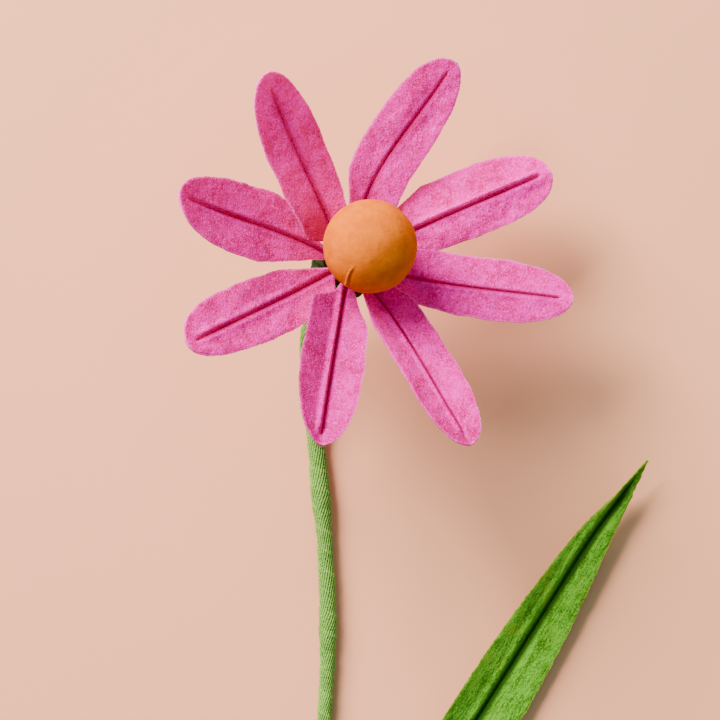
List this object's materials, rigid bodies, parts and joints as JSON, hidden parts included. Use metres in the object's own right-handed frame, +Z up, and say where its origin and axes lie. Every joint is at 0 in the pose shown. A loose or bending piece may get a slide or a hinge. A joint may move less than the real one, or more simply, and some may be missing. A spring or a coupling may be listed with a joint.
{
  "type": "paper flower",
  "caption": "Handmade daisy-like paper flower lying on its side: wire-cored folded petals round a covered ball, tape-wound wire stem and one long folded leaf.",
  "frame": {"origin": "centre of the bounding box, on the surface that the flower lies on", "axes": "+Z up from the surface, +Y along the stem towards the flower head, +X towards the side that the leaf is on"},
  "size_m": [0.1024, 0.3014, 0.0609],
  "materials": {
    "petal_paper": "matt fibrous pink paper, two plies pasted together, with slight creases and a fuzzy cut edge",
    "leaf_paper": "matt fibrous leaf-green paper with fibres along its length and a fuzzy cut edge",
    "stem_tape": "green crepe paper tape wound in a slow spiral, with fine threads",
    "ball_cover": "smooth matt orange stretched paper with one small tuck",
    "ball_core": "pressed cotton-paper ball, off-white",
    "wire": "soft annealed steel wire"
  },
  "bodies": {
    "root": {"petal_1": "petal_paper", "petal_2": "petal_paper", "petal_3": "petal_paper", "petal_4": "petal_paper", "petal_5": "petal_paper", "petal_6": "petal_paper", "petal_7": "petal_paper", "petal_8": "petal_paper", "petal_wire_1": "wire", "petal_wire_2": "wire", "petal_wire_3": "wire", "petal_wire_4": "wire", "petal_wire_5": "wire", "petal_wire_6": "wire", "petal_wire_7": "wire", "petal_wire_8": "wire", "ball_core": "ball_core", "ball_cover": "ball_cover", "stem_wire": "wire", "stem_wrap": "stem_tape", "leaf": "leaf_paper", "leaf_wire": "wire", "leaf_binding": "stem_tape"}
  },
  "joints": []
}
